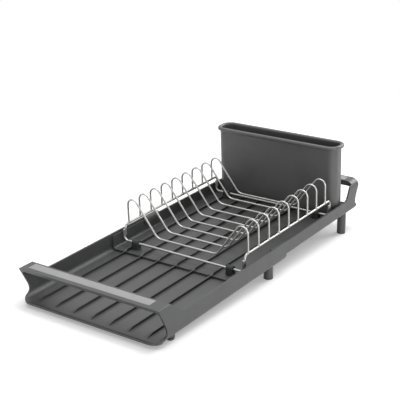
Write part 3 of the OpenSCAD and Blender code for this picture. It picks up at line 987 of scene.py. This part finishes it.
@dataclass
class WireRack:
    """The welded plate rack: rails, cross wires, dividers, weld beads and rubber feet.

    Attributes:
        sizes: Places of the wires.
        bead: Half sizes of a weld bead under a divider.
        seam: Half sizes of a weld between a rail's end and a cross wire's.
        tip_share: Height of a rounded tip, as a share of the wire's radius.
    """

    sizes: RackSizes = RACK
    bead: Point = (0.0019, 0.0024, 0.0013)
    seam: Point = (0.0012, 0.0016, 0.0042)
    tip_share: float = 0.5

    def build(self) -> None:
        """Dresses the wires and adds the beads and rounded tips."""
        wires = ["rack_rail_left", "rack_rail_right", "rack_front_wire", "rack_rear_wire"]
        wires += [f"plate_divider_{i + 1}" for i in range(self.sizes.count)]
        for node in wires:
            dress(node, STEEL_WIRE)
        for end in ("front", "rear"):
            for side in Side:
                dress(f"rack_foot_{end}_{side.word}", FOOT_RUBBER)
        keep(self.beads(), "weld_beads", STEEL_WIRE, Body.RACK)
        keep(self.tips(), "wire_tips", STEEL_WIRE, Body.RACK)

    def beads(self) -> bmesh.types.BMesh:
        """Weld beads under the dividers and between the turned ends of the frame wires.

        Returns:
            All beads as one shape.
        """
        rack = self.sizes
        shape = bmesh.new()
        seam_z = (rack.rail_end_z + rack.wire_end_z) / 2
        for side in Side:
            x = side.value * rack.half
            for i in range(rack.count):
                place = (x, rack.first_y + i * rack.pitch, rack.rail_z + rack.rail_r)
                self.lump(shape, place, self.bead)
            for y in (rack.front_y, rack.rear_y):
                self.lump(shape, (x, y - rack.gap / 2, seam_z), self.seam)
        return shape

    def tips(self) -> bmesh.types.BMesh:
        """Rounded tips on the turned ends of the rails and cross wires.

        Returns:
            All tips as one shape.
        """
        rack = self.sizes
        shape = bmesh.new()
        size = (rack.rail_r, rack.rail_r, rack.rail_r * self.tip_share)
        for side in Side:
            x = side.value * rack.half
            for y in (rack.front_y, rack.rear_y):
                self.lump(shape, (x, y, rack.rail_end_z), size)
                self.lump(shape, (x, y - rack.gap, rack.wire_end_z), size)
        return shape

    def lump(self, shape: bmesh.types.BMesh, place: Point, size: Point) -> None:
        """Adds a rounded lump.

        Args:
            shape: Shape that it is added to.
            place: Its centre, in the frame of the sloping trays.
            size: Its half sizes.
        """
        matrix = TRAY_FRAME @ Matrix.Translation(place) @ Matrix.Diagonal((*size, 1.0))
        bmesh.ops.create_icosphere(shape, subdivisions=2, radius=1.0, matrix=matrix)


@dataclass
class Caddy:
    """The cutlery caddy."""

    def build(self) -> None:
        """Dresses the caddy."""
        dress("cutlery_caddy", CADDY_PLASTIC_PAINTED_LIGHT)


@dataclass(frozen=True)
class Lamp:
    """One soft square lamp.

    Attributes:
        name: Name of the lamp.
        place: Where it hangs.
        aim: What it is turned to.
        width: Width of its square.
        power: Power in watts.
    """

    name: str
    place: Point
    aim: Point
    width: float
    power: float

    def build(self) -> None:
        """Hangs the lamp and turns it to what it lights."""
        data = bpy.data.lights.new(self.name, "AREA")
        data.shape = "SQUARE"
        data.size = self.width
        data.energy = self.power
        lamp = put(self.name, data)
        lamp.location = self.place
        lamp.rotation_mode = "QUATERNION"
        way = Vector(self.aim) - Vector(self.place)
        lamp.rotation_quaternion = way.to_track_quat("-Z", "Y")


LAMPS = (
    Lamp("overhead", place=(-0.1, 0.2, 1.9), aim=(0.0, 0.0, 0.0), width=1.4, power=27.0),
    Lamp("low_right", place=(1.7, -0.6, 0.2), aim=(0.0, 0.0, 0.03), width=0.36, power=9.0),
    Lamp("behind", place=(0.7, 2.1, 1.35), aim=(0.0, 0.0, 0.0), width=1.0, power=31.0),
)


@dataclass
class Studio:
    """Pale floor, white surroundings, soft lamps and the camera.

    Attributes:
        floor_half: Half the floor's width.
        floor_colour: Colour of the floor.
        lift: Glow that brings the lit floor to white where it is seen.
        ambient: Strength of the surroundings as a light.
        lens: Focal length of the camera, in millimetres.
        sensor: Width of its sensor, in millimetres.
        place: Where it stands.
        azimuth: Its angle round the rack from straight before the spout, in degrees.
        elevation: Its angle over the counter, in degrees.
        roll: Its turn about its own axis, in degrees.
    """

    floor_half: float = 1.0
    floor_colour: Colour = (0.82, 0.82, 0.82)
    lift: float = 0.3
    ambient: float = 0.35
    lens: float = 91.941
    sensor: float = 36.0
    place: Point = (0.775174, -1.087531, 0.562693)
    azimuth: float = 35.7218
    elevation: float = 19.356
    roll: float = -0.3335

    def build(self) -> None:
        """Sets up the whole studio."""
        self.floor()
        self.surroundings()
        self.camera()
        for lamp in LAMPS:
            lamp.build()
        bpy.context.scene.view_settings.view_transform = "Standard"

    def floor(self) -> None:
        """Lays the pale floor, which shows white and keeps the rack's shadow."""
        shape = bmesh.new()
        bmesh.ops.create_grid(shape, x_segments=1, y_segments=1, size=self.floor_half)
        mesh = settle(shape, "floor")
        made = bpy.data.materials.new("floor_paint")
        tree = empty_tree(made)
        shader = tree.add("BsdfDiffuse", {"Color": rgba(self.floor_colour)})
        lift = tree.product(self.seen(tree), self.lift)
        glow = tree.add("Emission", {"Strength": lift})
        both = tree.add("AddShader", {0: shader.outputs[0], 1: glow.outputs[0]})
        tree.add("OutputMaterial", {"Surface": both.outputs[0]})
        mesh.materials.append(made)
        floor = put("floor", mesh)

    def surroundings(self) -> None:
        """Lights the world softly, and shows it white to the camera and in reflections."""
        world = bpy.data.worlds.new("studio")
        tree = empty_tree(world)
        strength = tree.ramp(self.seen(tree), 0.0, 1.0, self.ambient, 1.0)
        light = tree.add("Background", {"Color": (1.0, 1.0, 1.0, 1.0), "Strength": strength})
        tree.add("OutputWorld", {"Surface": light.outputs[0]})
        bpy.context.scene.world = world

    def seen(self, tree: Tree) -> Socket:
        """Tells rays that show a surface from those that only light others.

        Args:
            tree: Tree that the nodes go into.

        Returns:
            Socket that is 1 for camera, glossy and transmission rays.
        """
        path = tree.add("LightPath").outputs
        two = tree.math("MAXIMUM", path["Is Camera Ray"], path["Is Glossy Ray"])
        return tree.math("MAXIMUM", two, path["Is Transmission Ray"])

    def camera(self) -> None:
        """Puts the camera at the photograph's place and angle."""
        az, el, roll = (math.radians(v) for v in (self.azimuth, self.elevation, self.roll))
        back = Vector((math.sin(az) * math.cos(el), -math.cos(az) * math.cos(el), math.sin(el)))
        level = Vector((math.cos(az), math.sin(az), 0.0))
        top = back.cross(level)
        right = level * math.cos(roll) + top * math.sin(roll)
        up = top * math.cos(roll) - level * math.sin(roll)
        data = bpy.data.cameras.new("camera")
        data.sensor_width = self.sensor
        data.lens = self.lens
        camera = put("camera", data)
        turn = Matrix((right, up, back)).transposed().to_4x4()
        camera.matrix_world = Matrix.Translation(self.place) @ turn
        bpy.context.scene.camera = camera


def main() -> None:
    """Builds the rack's finishes and pieces, then the studio."""
    logging.basicConfig(level=logging.INFO, format="%(name)s: %(message)s")
    for assembly in (Trays(), Feet(), WireRack(), Caddy(), Studio()):
        assembly.build()
    bpy.context.view_layer.update()


if __name__ == "__main__":
    main()
